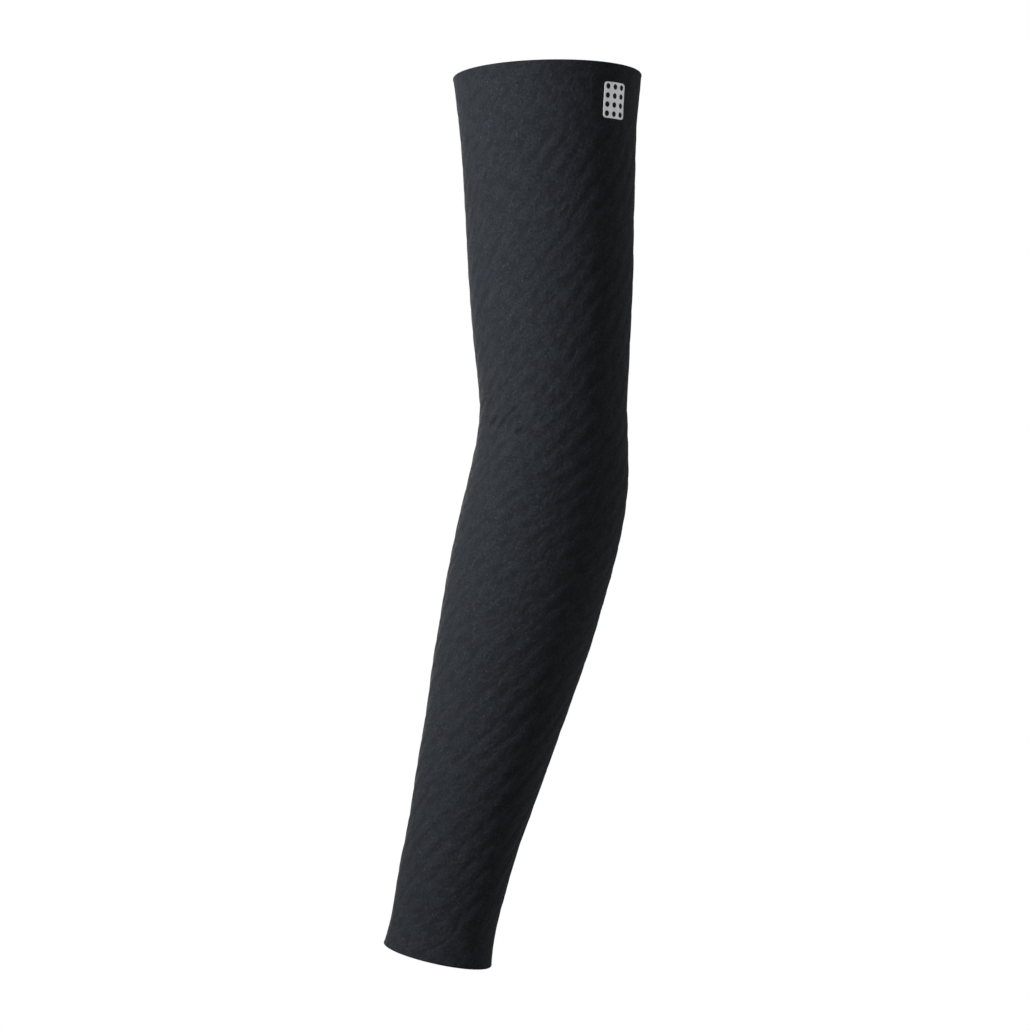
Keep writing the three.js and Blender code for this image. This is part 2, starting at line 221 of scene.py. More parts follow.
class SleeveForm:
    """The sleeve's middle line and its sections, from which every place on the cloth is worked out."""

    def __init__(self, sizes, look):
        stretches = (
            (UPPER_ARM_SECTIONS, 0.0, sizes.upper_arm_length),
            (FOREARM_SECTIONS, sizes.upper_arm_length, sizes.forearm_length),
        )
        rows = []
        for sections, start, length in stretches:
            for section in sections:
                half_width = section.width * getattr(sizes, section.size) / 2
                lean = sizes.upper_arm_lean + section.turn * sizes.elbow_bend
                slant = section.slant * look.rib_slant
                rows.append((start + section.along * length, half_width, half_width * section.depth,
                             section.keel, lean, slant))
        columns = np.array(rows).T
        self.places = columns[0]
        self.columns = dict(zip(("half_width", "half_depth", "keel", "lean", "slant"), columns[1:]))
        self.length = sizes.upper_arm_length + sizes.forearm_length
        self._walk_middle_line(look.rib_spacing)

    def value(self, name, down):
        """A smooth value between the sections: a cubic whose slope at each section is that of the chord
        between its neighbours."""
        places, column = self.places, self.columns[name]
        last = len(places) - 1
        order = np.arange(last + 1)
        before, after = np.maximum(order - 1, 0), np.minimum(order + 1, last)
        slopes = (column[after] - column[before]) / (places[after] - places[before])
        upper = np.clip(np.searchsorted(places, down) - 1, 0, last - 1)
        span = places[upper + 1] - places[upper]
        t = np.clip((down - places[upper]) / span, 0, 1)
        rise = t * t * (3 - 2 * t)
        start_pull = t * (1 - t) ** 2 * span * slopes[upper]
        end_pull = t * t * (1 - t) * span * slopes[upper + 1]
        return column[upper] * (1 - rise) + column[upper + 1] * rise + start_pull - end_pull

    def _walk_middle_line(self, rib_spacing):
        """Adds up the middle line and the ribs' phase in short steps, each at its own lean and slant."""
        steps = math.ceil(self.length / MIDDLE_LINE_STEP)
        step = self.length / steps
        middles = (np.arange(steps) + 0.5) * step
        lean, slant = self.value("lean", middles), self.value("slant", middles)
        self.stations = np.arange(steps + 1) * step
        self.line_x = np.append(0, np.cumsum(-step * np.sin(lean)))
        self.line_z = np.append(0, np.cumsum(-step * np.cos(lean)))
        self.line_phase = np.append(0, np.cumsum(TAU * step * np.cos(slant) / rib_spacing))

    def radius(self, down):
        """The radius that turns an angle round the sleeve into a length: the mean of the half width and the
        half depth."""
        return (self.value("half_width", down) + self.value("half_depth", down)) / 2

    def point(self, down, angle, lift):
        """Places on the cloth: down along the middle line, an angle round it from the front toward the
        elbow point, and lifted off the surface. Across the arm it is the half width times the angle's sine,
        and from front to back the half depth, less the keel, times its cosine."""
        down, angle, lift = np.broadcast_arrays(down, angle, lift)
        lean = self.value("lean", down)
        across = (self.value("half_width", down) + lift) * np.sin(angle)
        half_depth = self.value("half_depth", down) * (1 - self.value("keel", down) * np.sin(angle))
        x = np.interp(down, self.stations, self.line_x) + across * np.cos(lean)
        z = np.interp(down, self.stations, self.line_z) - across * np.sin(lean)
        return np.stack([x, -(half_depth + lift) * np.cos(angle), z], axis=-1)

    def columns_round(self, down, seam_width):
        """Angles of the cloth's columns at each distance down, from seam to seam: evenly spread between the
        seam's edges, and closer together over the seam, whose edges keep their distance from its middle."""
        edge = math.pi - seam_width / 2 / self.radius(down)[:, None]
        even = np.linspace(-1, 1, CLOTH_COLUMNS + 1)[None, :]
        over = np.linspace(0, 1, SEAM_COLUMNS // 2 + 1)[None, 1:]
        right = edge + (math.pi - edge) * over
        return np.concatenate([-right[:, -2::-1], even * edge, right], axis=1)


def soft_noise(across, along, seed):
    """Smooth random values from -1 to 1 that change over about one unit: random corners of a square net,
    with an eased blend between the four round each place."""
    corners = np.random.default_rng(seed).uniform(-1, 1, (NOISE_NET, NOISE_NET))
    i, j = np.floor(across).astype(int), np.floor(along).astype(int)
    s, t = across - i, along - j
    s, t = s * s * (3 - 2 * s), t * t * (3 - 2 * t)
    near_i, far_i = i % NOISE_NET, (i + 1) % NOISE_NET
    near_j, far_j = j % NOISE_NET, (j + 1) % NOISE_NET
    upper = corners[near_i, near_j] * (1 - s) + corners[far_i, near_j] * s
    lower = corners[near_i, far_j] * (1 - s) + corners[far_i, far_j] * s
    return upper * (1 - t) + lower * t


def eased(value, start, end):
    """0 before start, 1 after end, and an eased rise between them."""
    t = np.clip((value - start) / (end - start), 0, 1)
    return t * t * (3 - 2 * t)


# Broad swells and small puckers of the cloth
SWELL_SIZE = 24 * MM
SWELL_HEIGHT = 0.22 * MM
PUCKER_LENGTH = 5.0 * MM
PUCKERS_PER_RIB = 2.4
PUCKER_HEIGHT = 0.12 * MM

# The ribs' wander in radians of their phase, the length over which one rib grows stronger and weaker, the
# size of the areas where all of them do, how sharp their valleys are, and how far they run into the bands
WANDER_SIZE = 13 * MM
WANDER = 0.5
RIB_PATCH = 9 * MM
RIB_PATCH_SPREAD = 0.45
RIB_AREA = 30 * MM
RIB_AREA_SPREAD = 0.3
RIB_VALLEY_SHARPNESS = 0.18
RIB_LEAD = 9 * MM
RIB_START_UNEVENNESS = 7 * MM

# The elbow's crook: where it is, how far it reaches and how much stronger the ribs are there. Then its
# short creases: how many for each rib, how sharp, how long and how deep they are, and what is added to the
# random values from -1 to 1 that make and break them.
CROOK_DOWN = 162 * MM
CROOK_ANGLE = math.radians(-38)
CROOK_LENGTH = 15 * MM
CROOK_SPREAD = math.radians(28)
CROOK_STRENGTH = 0.9
CREASES_PER_RIB = 1.6
CREASE_SHARPNESS = 4
CREASE_LENGTH = 4.0 * MM
CREASE_DEPTH = 0.8 * MM
CREASE_CHANCE = 0.45

# The flat seam's shoulders and middle groove, how far beside it the cloth lies calm, and how far from a rim
SEAM_SHOULDER = 0.8 * MM
SEAM_GROOVE = 0.10 * MM
SEAM_GROOVE_WIDTH = 0.45 * MM
SEAM_CALM = 2.0 * MM
SEAM_END = 2.0 * MM
RIM_CALM = 6 * MM


def cloth_relief(form, sizes, look, down, angle):
    """How far the outer face stands off the plain form, the height of the ribs from -1 to 1, and the depth
    of the creases from 0 to 1. The ribs are a cosine of their phase with sharper valleys. They are stronger
    and weaker in patches, wander a little, fade out near the rims and are pinched into short creases at the
    elbow's crook. A crease is a power of a faster cosine of the phase. The flat seam is a low step with
    eased edges."""
    radius = form.radius(down)
    slant = form.value("slant", down)
    around = angle * radius
    to_seam = (math.pi - np.abs(angle)) * radius
    to_rim = np.minimum(down, form.length - down)
    half_seam = sizes.seam_width / 2
    beside_seam = eased(to_seam, half_seam, half_seam + SEAM_CALM)
    inside_rim = eased(to_rim, 0, RIM_CALM)
    along_rib = around * np.cos(slant) - down * np.sin(slant)
    phase = around * TAU * np.sin(slant) / look.rib_spacing
    phase = phase + np.interp(down, form.stations, form.line_phase)
    phase = phase + WANDER * soft_noise(around / WANDER_SIZE, down / WANDER_SIZE, seed=11)
    crook_down = (down - CROOK_DOWN) / CROOK_LENGTH
    crook_round = (angle - CROOK_ANGLE) / CROOK_SPREAD
    near_crook = np.exp(-crook_down ** 2 - crook_round ** 2)
    patches = RIB_PATCH_SPREAD * soft_noise(phase / TAU, along_rib / RIB_PATCH, seed=23)
    areas = soft_noise(around / RIB_AREA, down / RIB_AREA, seed=29)
    strength = np.maximum(1 + patches + RIB_AREA_SPREAD * areas, 0) + CROOK_STRENGTH * near_crook
    start = down - sizes.upper_band_height
    end = form.length - sizes.lower_band_height - down
    inside = np.minimum(start, end) + RIB_LEAD + RIB_START_UNEVENNESS * np.minimum(areas, 0)
    strength = strength * eased(inside, 0, look.rib_fade) * beside_seam
    ribs = strength * (np.cos(phase) - RIB_VALLEY_SHARPNESS * np.cos(2 * phase))
    crease_phase = phase * CREASES_PER_RIB
    pinch = soft_noise(crease_phase / TAU + 0.5, along_rib / CREASE_LENGTH, seed=37)
    valley = (0.5 - 0.5 * np.cos(crease_phase)) ** CREASE_SHARPNESS
    crease = near_crook * valley * np.maximum(pinch + CREASE_CHANCE, 0)
    swell = soft_noise(around / SWELL_SIZE, down / SWELL_SIZE, seed=5)
    swell = swell * inside_rim * eased(to_seam, half_seam, SWELL_SIZE)
    puckers = np.abs(soft_noise(phase / TAU * PUCKERS_PER_RIB, along_rib / PUCKER_LENGTH, seed=41))
    puckers = puckers * (1 + CROOK_STRENGTH * near_crook) * inside_rim * beside_seam
    seam = sizes.seam_height * eased(half_seam - to_seam, 0, SEAM_SHOULDER)
    seam = seam - SEAM_GROOVE * np.exp(-((to_seam / SEAM_GROOVE_WIDTH) ** 2))
    seam = seam * eased(to_rim, 0, SEAM_END)
    relief = ribs * look.rib_height / 2 - crease * CREASE_DEPTH + seam
    relief = relief + swell * SWELL_HEIGHT + puckers * PUCKER_HEIGHT
    return relief, np.clip(ribs, -1, 1), np.clip(crease, 0, 1)


def new_object(name, data):
    """A new object in the scene, from a mesh, a light or a camera."""
    thing = bpy.data.objects.new(name, data)
    bpy.context.scene.collection.objects.link(thing)
    return thing


def new_piece(name, points, faces, uvs, sharp_angle=math.radians(50)):
    """A mesh object at the origin from arrays: places, faces as rows of corners, and a UV in metres for
    each corner of each face."""
    mesh = bpy.data.meshes.new(name)
    mesh.from_pydata(points, [], faces)
    layer = mesh.uv_layers.new(name="cloth")
    layer.uv.foreach_set("vector", np.asarray(uvs, np.float32).ravel())
    mesh.shade_smooth()
    mesh.set_sharp_from_angle(angle=sharp_angle)
    mesh.update()
    return new_object(name, mesh)


def ring_piece(name, points, across, along, along_close):
    """A closed ring of rows. points is rows by columns, and both close on themselves, so a face joins each
    corner to the next column and the next row. across and along are the cloth's own lengths at each corner,
    and along_close is the length at the first row when the last one reaches it."""
    rows, columns = points.shape[:2]
    i, j = np.meshgrid(np.arange(rows), np.arange(columns), indexing="ij")
    down, right = (i + 1) % rows, (j + 1) % columns
    corners = ((i, j), (down, j), (down, right), (i, right))
    faces = np.stack([a * columns + b for a, b in corners], axis=-1).reshape(-1, 4)
    u = np.concatenate([across, -across[:, :1]], axis=1)
    v = np.append(along, along_close)
    u = np.concatenate([u, u[:1]], axis=0)
    steps = ((i, j), (i + 1, j), (i + 1, j + 1), (i, j + 1))
    uvs = np.stack([np.stack([u[a, b], v[a]], axis=-1) for a, b in steps], axis=2)
    return new_piece(name, points.reshape(-1, 3), faces, uvs.reshape(-1, 2))


def cloth_tube(name, form, sizes, look, downs, lifts, is_outer):
    """A tube of cloth from its profile: for each row how far down it lies, how far it is lifted and whether
    it is on the outer face, which carries the relief."""
    angle = form.columns_round(downs, sizes.seam_width)[:, :-1]
    down = np.broadcast_to(downs[:, None], angle.shape)
    relief, ribs, crease = cloth_relief(form, sizes, look, down, angle)
    outer = is_outer[:, None]
    points = form.point(down, angle, lifts[:, None] + relief * outer)
    steps = np.hypot(np.diff(downs), np.diff(lifts))
    along = np.append(0, np.cumsum(steps))
    first_outer = np.flatnonzero(is_outer)[0]
    along = -(along - along[first_outer] + downs[first_outer])
    across = angle * form.radius(down)
    closing_step = np.hypot(downs[-1] - downs[0], lifts[-1] - lifts[0])
    piece = ring_piece(name, points, across, along, along[-1] - closing_step)
    store_value(piece, "rib", (ribs * outer).ravel())
    store_value(piece, "crease", (crease * outer).ravel())
    return piece


def store_value(piece, name, values):
    """Keeps one number per corner on the mesh, for a material to read."""
    attribute = piece.data.attributes.new(name, "FLOAT", "POINT")
    attribute.data.foreach_set("value", np.asarray(values, np.float32))


def evenly(start, end, spacing):
    """Places from start to end, both with them, about spacing apart."""
    return np.linspace(start, end, max(2, math.ceil(abs(end - start) / spacing) + 1))


def body_profile(form, sizes):
    """Down the outer wall between the bands and back up the inner wall."""
    start, end = sizes.upper_band_height, form.length - sizes.lower_band_height
    outer = evenly(start, end, OUTER_ROW_SPACING)
    inner = evenly(end, start, INNER_ROW_SPACING)
    downs = np.concatenate([outer, inner])
    lifts = np.concatenate([np.zeros(len(outer)), np.full(len(inner), -sizes.knit_wall)])
    return downs, lifts, np.arange(len(downs)) < len(outer)


def band_profile(sizes, height, rim_down, rim_is_below):
    """Down a band's outer wall, back up its inner wall and over the rounded rim, which is half a circle. On
    the lower band the rim is below, so it comes between the two walls."""
    bead = sizes.band_wall / 2 + sizes.rim_bead
    wall = evenly(2 * bead, height, OUTER_ROW_SPACING)
    inner_wall = evenly(2 * bead, height, INNER_ROW_SPACING)
    turn = np.linspace(0, math.pi, RIM_ROWS)
    rim = bead * (1 - np.sin(turn))
    rim_lift = -sizes.band_wall / 2 - bead * np.cos(turn)
    outer_lift, inner_lift = np.zeros(len(wall)), np.full(len(inner_wall), -sizes.band_wall)
    if rim_is_below:
        downs = rim_down - np.concatenate([wall[::-1], rim, inner_wall])
        lifts = np.concatenate([outer_lift, rim_lift[::-1], inner_lift])
    else:
        downs = rim_down + np.concatenate([wall, inner_wall[::-1], rim])
        lifts = np.concatenate([outer_lift, inner_lift, rim_lift])
    return downs, lifts, np.arange(len(downs)) < len(wall)


# The seam's thread: its thickness and its cut, the crossing zigzags' reach and step, the needle stitches'
# lines aside of the seam's middle and their length, and how far from a rim the thread starts. The lift and
# sway of a zigzag and the rise and dip of a needle stitch are multiples of the thread's radius.
THREAD_RADIUS = 0.17 * MM
THREAD_SIDES = 6
ZIGZAG_REACH = 2.35 * MM
ZIGZAG_STEP = 1.7 * MM
ZIGZAG_CORNERS = 6
NEEDLE_LINES = (-2.3 * MM, -0.75 * MM, 0.75 * MM, 2.3 * MM)
NEEDLE_STITCH = 2.8 * MM
NEEDLE_CORNERS = 8
THREAD_START = 1.5 * MM
ZIGZAG_LIFT = 0.55
ZIGZAG_SWAY = 0.35
NEEDLE_RISE = 2.1
NEEDLE_DIP = 0.6


def thread_tube(form, sizes, look, down, aside, lift, radius):
    """Corners of a thread that lies on the seam: a small ring round each place of its path, square to it.
    The path is given by its distances down and aside of the seam's middle and its height above the seam."""
    turn_aside = aside / form.radius(down)
    angle = math.pi + turn_aside
    relief, _, _ = cloth_relief(form, sizes, look, down, math.pi - np.abs(turn_aside))
    path = form.point(down, angle, relief + lift)
    above = form.point(down, angle, relief + lift + MM)
    ahead = np.gradient(path, axis=0)
    ahead /= np.linalg.norm(ahead, axis=1, keepdims=True)
    outward = above - path
    outward -= (outward * ahead).sum(axis=1, keepdims=True) * ahead
    outward /= np.linalg.norm(outward, axis=1, keepdims=True)
    sideways = np.cross(ahead, outward)
    turn = TAU * np.arange(THREAD_SIDES) / THREAD_SIDES
    rise, reach = np.cos(turn)[None, :, None], np.sin(turn)[None, :, None]
    ring = rise * outward[:, None] + reach * sideways[:, None]
    return path[:, None] + ring * radius


def thread_faces(count, first):
    """Faces of a thread's tube of so many rings, counted from its first corner's number, with a closing
    face at each end."""
    i, j = np.meshgrid(np.arange(count - 1), np.arange(THREAD_SIDES), indexing="ij")
    right = (j + 1) % THREAD_SIDES
    corners = ((i, j), (i, right), (i + 1, right), (i + 1, j))
    sides = np.stack([a * THREAD_SIDES + b for a, b in corners], axis=-1).reshape(-1, 4) + first
    start = first + np.arange(THREAD_SIDES)[::-1]
    end = first + (count - 1) * THREAD_SIDES + np.arange(THREAD_SIDES)
    return sides.tolist() + [start.tolist(), end.tolist()]


def make_seam_stitches(form, sizes, look):
    """All the seam's thread as one mesh: two crossing zigzags that cover the joint, and four lines of
    needle stitches that hold them down. A zigzag goes aside as a sine of the way down, with a slight rise
    and fall, and a needle stitch is a low arch that dips into the cloth at both ends."""
    start, end = THREAD_START, form.length - THREAD_START
    paths = []
    for side in (1, -1):
        count = math.ceil((end - start) / ZIGZAG_STEP * ZIGZAG_CORNERS)
        down = np.linspace(start, end, count)
        turn = math.pi * (down - start) / ZIGZAG_STEP
        aside = side * ZIGZAG_REACH * np.sin(turn)
        lift = THREAD_RADIUS * (ZIGZAG_LIFT + ZIGZAG_SWAY * side * np.sin(2 * turn))
        paths.append((down, aside, lift))
    for line in NEEDLE_LINES:
        count = math.ceil((end - start) / NEEDLE_STITCH * NEEDLE_CORNERS)
        down = np.linspace(start, end, count)
        arch = np.abs(np.sin(math.pi * (down - start) / NEEDLE_STITCH))
        lift = THREAD_RADIUS * (NEEDLE_RISE * np.sqrt(arch) - NEEDLE_DIP)
        paths.append((down, np.full(count, line), lift))
    points, faces, uvs = [], [], []
    first = 0
    for down, aside, lift in paths:
        rings = thread_tube(form, sizes, look, down, aside, lift, THREAD_RADIUS)
        points.append(rings.reshape(-1, 3))
        faces += thread_faces(len(down), first)
        first += rings.shape[0] * rings.shape[1]
    points = np.concatenate(points)
    corners = np.concatenate([np.asarray(face) for face in faces])
    uvs = points[corners][:, [0, 2]]
    return new_piece("seam_stitches", points, faces, uvs, sharp_angle=math.radians(80))


# The patch: corners round a hole, rings from a hole to its cell's edge, the power of its rounded corners,
# the softening of its edges, its height over the band, and the reach within which its cells are merged
PATCH_TURNS = 32
PATCH_RINGS = 4
PATCH_CORNER_POWER = 3
PATCH_EDGE = 0.08 * MM
PATCH_CLEARANCE = 0.05 * MM
MERGE_REACH = 0.001 * MM


def make_patch(form, sizes, look, patch):
    """The patch's upper face, bent onto the band: for each hole a cell of rings that go from the round hole
    out to the cell's square edge. On a corner of the patch the cell's own corner is a superellipse. The
    cells are merged into one sheet, which gets its thickness and its softened edges from modifiers."""
    row, column = np.divmod(np.arange(patch.rows * patch.columns), patch.columns)
    half = np.array([patch.width / patch.columns, patch.height / patch.rows]) / 2
    place = np.stack([2 * column + 1 - patch.columns, 2 * row + 1 - patch.rows], axis=-1)
    end = np.array([patch.columns - 1, patch.rows - 1])
    turn = TAU * np.arange(PATCH_TURNS) / PATCH_TURNS
    ray = np.stack([np.cos(turn), np.sin(turn)], axis=-1)
    in_corner = (np.sign(np.round(ray, 9))[None] * end == place[:, None]).all(axis=-1)
    square = 1 / np.abs(ray).max(axis=-1)
    rounded = (np.abs(ray) ** PATCH_CORNER_POWER).sum(axis=-1) ** (-1 / PATCH_CORNER_POWER)
    reach = np.where(in_corner, rounded, square)
    middle = (place * half)[:, None]
    edge = middle + half * ray * reach[..., None]
    hole = middle + patch.hole / 2 * ray
    share = np.linspace(0, 1, PATCH_RINGS)[:, None, None, None]
    flat = hole + (edge - hole) * share
    down = patch.drop - flat[..., 1]
    angle = patch.turn + flat[..., 0] / form.radius(down)
    relief, _, _ = cloth_relief(form, sizes, look, down, angle)
    points = form.point(down, angle, relief + PATCH_CLEARANCE + patch.thickness)
    ring, cell, corner = np.meshgrid(
        np.arange(PATCH_RINGS - 1), np.arange(len(row)), np.arange(PATCH_TURNS), indexing="ij")
    beside = (corner + 1) % PATCH_TURNS
    steps = ((ring, corner), (ring + 1, corner), (ring + 1, beside), (ring, beside))
    faces = np.stack([(a * len(row) + cell) * PATCH_TURNS + b for a, b in steps], axis=-1)
    faces = faces.reshape(-1, 4)
    uvs = flat.reshape(-1, 2)[faces.ravel()]
    piece = new_piece("reflective_patch", points.reshape(-1, 3), faces, uvs)
    sheet = bmesh.new()
    sheet.from_mesh(piece.data)
    bmesh.ops.remove_doubles(sheet, verts=sheet.verts, dist=MERGE_REACH)
    sheet.to_mesh(piece.data)
    sheet.free()
    wall = piece.modifiers.new("thickness", "SOLIDIFY")
    wall.thickness = patch.thickness
    wall.offset = -1
    soft = piece.modifiers.new("soft edges", "BEVEL")
    soft.width = PATCH_EDGE
    soft.segments = 2
    soft.angle_limit = math.radians(40)
    return piece


class NodeTable:
    """Adds nodes to a tree. Each input is set to a value, or linked to the socket that it is given."""

    def __init__(self, tree):
        self.tree = tree

    def fill(self, node, inputs):
        """Fills a node's inputs, which go by name or number."""
        for key, value in inputs.items():
            socket = node.inputs[key]
            if isinstance(value, bpy.types.NodeSocket):
                self.tree.links.new(value, socket)
            else:
                socket.default_value = value

    def add(self, kind, inputs=None, **settings):
        """A new node of a kind, with its settings and its inputs."""
        node = self.tree.nodes.new(kind)
        for name, value in settings.items():
            setattr(node, name, value)
        self.fill(node, inputs or {})
        return node

    def math(self, operation, *values):
        """The result of a Math node."""
        return self.add("ShaderNodeMath", dict(enumerate(values)), operation=operation).outputs[0]

    def eased(self, value, start, end):
        """0 before start, 1 after end, and an eased rise between them."""
        inputs = {"Value": value, "From Min": start, "From Max": end}
        return self.add("ShaderNodeMapRange", inputs, interpolation_type="SMOOTHSTEP").outputs["Result"]

    def mix(self, factor, first, second):
        """A colour between two others."""
        node = self.add("ShaderNodeMix", {"Factor": factor, "A": first, "B": second}, data_type="RGBA")
        return node.outputs["Result"]

    def noise(self, place, scale, detail):
        """Smooth noise from 0 to 1, with about scale swells for each metre."""
        inputs = {"Vector": place, "Scale": scale, "Detail": detail}
        return self.add("ShaderNodeTexNoise", inputs).outputs["Fac"]

    def bump(self, height, strength, distance):
        """The normals of a face that has a height added to it."""
        inputs = {"Height": height, "Strength": strength, "Distance": distance}
        return self.add("ShaderNodeBump", inputs).outputs["Normal"]


def new_group(name, inputs, outputs):
    """An empty shader group with its named sockets, and the sockets inside it that carry its inputs."""
    group = bpy.data.node_groups.new(name, "ShaderNodeTree")
    for label, kind, default in inputs:
        socket = group.interface.new_socket(name=label, in_out="INPUT", socket_type=kind)
        if default is not None:
            socket.default_value = default
    for label, kind in outputs:
        group.interface.new_socket(name=label, in_out="OUTPUT", socket_type=kind)
    table = NodeTable(group)
    entry = table.add("NodeGroupInput")
    return group, table, entry.outputs


# The stitches: how many swells of their wander come to a metre, how many stitches it reaches, how their
# legs lean and swing, and how many swells of the mixed fibres come to a metre
WANDER_SCALE = 260.0
STITCH_WANDER = 0.7
LEG_LEAN = 0.45
LEG_SWING = 0.28
FIBRE_SCALE = 950.0

# The knit's small puckers: how many come to a metre, how they slant and how much longer than wide they are
PUCKER_SCALE = 260.0
PUCKER_SLANT = math.radians(50)
PUCKER_STRETCH = 1.5


def knit_group():
    """The stitches of a fine knit. Across the cloth each wale rises to a leg on both sides of its middle,
    and along it the legs rise and fall in slanting steps, which makes the small V shapes. Each stitch also
    has its own random tone, with the tone of the mixed fibres over it, and a few have a pale fleck. The
    puckers are small uneven swells, drawn out a little along the ribs."""
    name = "fine_knit"
    if name in bpy.data.node_groups:
        return bpy.data.node_groups[name]
    group, table, given = new_group(
        name,
        (("Cloth", "NodeSocketVector", None), ("Wale", "NodeSocketFloat", 0.0008),
         ("Course", "NodeSocketFloat", 0.0006), ("Fleck Share", "NodeSocketFloat", 0.03)),
        (("Height", "NodeSocketFloat"), ("Gap", "NodeSocketFloat"), ("Tone", "NodeSocketFloat"),
         ("Fleck", "NodeSocketFloat"), ("Pucker", "NodeSocketFloat")),
    )
    wander = table.noise(given["Cloth"], WANDER_SCALE, 1.0)
    shift = table.math("MULTIPLY", table.math("SUBTRACT", wander, 0.5), STITCH_WANDER)
    axes = table.add("ShaderNodeSeparateXYZ", {0: given["Cloth"]}).outputs
    across = table.math("ADD", table.math("DIVIDE", axes["X"], given["Wale"]), shift)
    along = table.math("ADD", table.math("DIVIDE", axes["Y"], given["Course"]), shift)
    side = table.math("MULTIPLY", table.math("PINGPONG", across, 0.5), 2.0)
    leaning = table.math("ADD", along, table.math("MULTIPLY", side, LEG_LEAN))
    ridge = table.math("SINE", table.math("MULTIPLY", side, math.pi))
    swing = table.math("COSINE", table.math("MULTIPLY", leaning, TAU))
    loop = table.math("MULTIPLY_ADD", swing, LEG_SWING, 1 - LEG_SWING)
    height = table.math("MULTIPLY", ridge, loop)
    gap = table.math("SUBTRACT", 1.0, table.eased(height, 0.1, 0.6))
    leg = table.math("FLOOR", table.math("MULTIPLY", across, 2.0))
    stitch = table.add("ShaderNodeCombineXYZ", {"X": leg, "Y": table.math("FLOOR", leaning)})
    random = table.add("ShaderNodeTexWhiteNoise", {"Vector": stitch.outputs[0]}, noise_dimensions="2D")
    plain_share = table.math("SUBTRACT", 1.0, given["Fleck Share"])
    chance = table.math("GREATER_THAN", random.outputs["Value"], plain_share)
    tones = table.add("ShaderNodeSeparateColor", {0: random.outputs["Color"]}).outputs
    fibre_tone = table.eased(table.noise(given["Cloth"], FIBRE_SCALE, 2.0), 0.25, 0.75)
    mixed = table.math("MULTIPLY_ADD", tones["Green"], 0.35, fibre_tone)
    turn = {"Vector": given["Cloth"], "Rotation": (0, 0, PUCKER_SLANT), "Scale": (PUCKER_STRETCH, 1, 1)}
    turned = table.add("ShaderNodeMapping", turn, vector_type="TEXTURE")
    pucker = table.noise(turned.outputs[0], PUCKER_SCALE, 2.0)
    table.add("NodeGroupOutput", {
        "Height": height,
        "Gap": gap,
        "Tone": mixed,
        "Fleck": table.math("MULTIPLY", chance, table.eased(height, 0.2, 0.8)),
        "Pucker": table.eased(pucker, 0.36, 0.64),
    })
    return group


# How far the tint's noise is moved away from the tone's, so that they differ
TINT_SHIFT = (3.1, 1.7, 0.4)


def blotch_group():
    """Slow changes over the cloth: tone, from uneven dye and stretch, and tint, from one dye to another."""
    name = "uneven_dye"
    if name in bpy.data.node_groups:
        return bpy.data.node_groups[name]
    group, table, given = new_group(
        name,
        (("Cloth", "NodeSocketVector", None), ("Size", "NodeSocketFloat", 0.009)),
        (("Tone", "NodeSocketFloat"), ("Tint", "NodeSocketFloat")),
    )
    scale = table.math("DIVIDE", 1.0, given["Size"])
    tone = table.noise(given["Cloth"], scale, 3.0)
    moved = table.add("ShaderNodeVectorMath", {0: given["Cloth"], 1: TINT_SHIFT}, operation="ADD")
    tint = table.noise(moved.outputs[0], scale, 1.0)
    table.add("NodeGroupOutput", {
        "Tone": table.eased(tone, 0.3, 0.7),
        "Tint": table.eased(tint, 0.35, 0.65),
    })
    return group


def new_material(name):
    """A material with its Principled shader and its output, and a table to add nodes to."""
    material = bpy.data.materials.new(name)
    material.use_nodes = True
    material.node_tree.nodes.clear()
    table = NodeTable(material.node_tree)
    shader = table.add("ShaderNodeBsdfPrincipled")
    table.add("ShaderNodeOutputMaterial", {"Surface": shader.outputs["BSDF"]})
    return material, table, shader


# What darkens the knit, as shares of the way from the yarn's colour to the shade's. The puckers' share is
# painted shade in their hollows. The rib and band valleys' shares are partly their open knit and partly
# painted shade. Then how strongly flecks show, how strongly the painted shadow in the creases shows, and
# the colour of that shadow
GAP_DARKNESS = 0.35
STITCH_DARKNESS = 0.62
DYE_DARKNESS = 0.18
PUCKER_HOLLOW_PAINTED_SHADE = 0.4
RIB_VALLEY_KNIT_AND_SHADE = 0.13
BAND_VALLEY_KNIT_AND_SHADE = 0.06
FLECK_SHARE = 0.008
FLECK_STRENGTH = 0.8
CREASE_SHADOW = 0.7
PAINTED_CREASE_SHADOW = (0.0050, 0.0060, 0.0080, 1)

# The other colour that the dye drifts to
TINT_OF_RIBS = (0.0272, 0.0345, 0.0450, 1)
TINT_OF_BANDS = (0.0278, 0.0343, 0.0440, 1)

# The knit's bump: the height of a stitch, with the fuzz and the puckers as multiples of it, and how many
# swells of the fuzz come to a metre
STITCH_HEIGHT = 0.12 * MM
FUZZ_HEIGHT = 0.35
FINE_PUCKER_HEIGHT = 3.6
FUZZ_SCALE = 2600.0


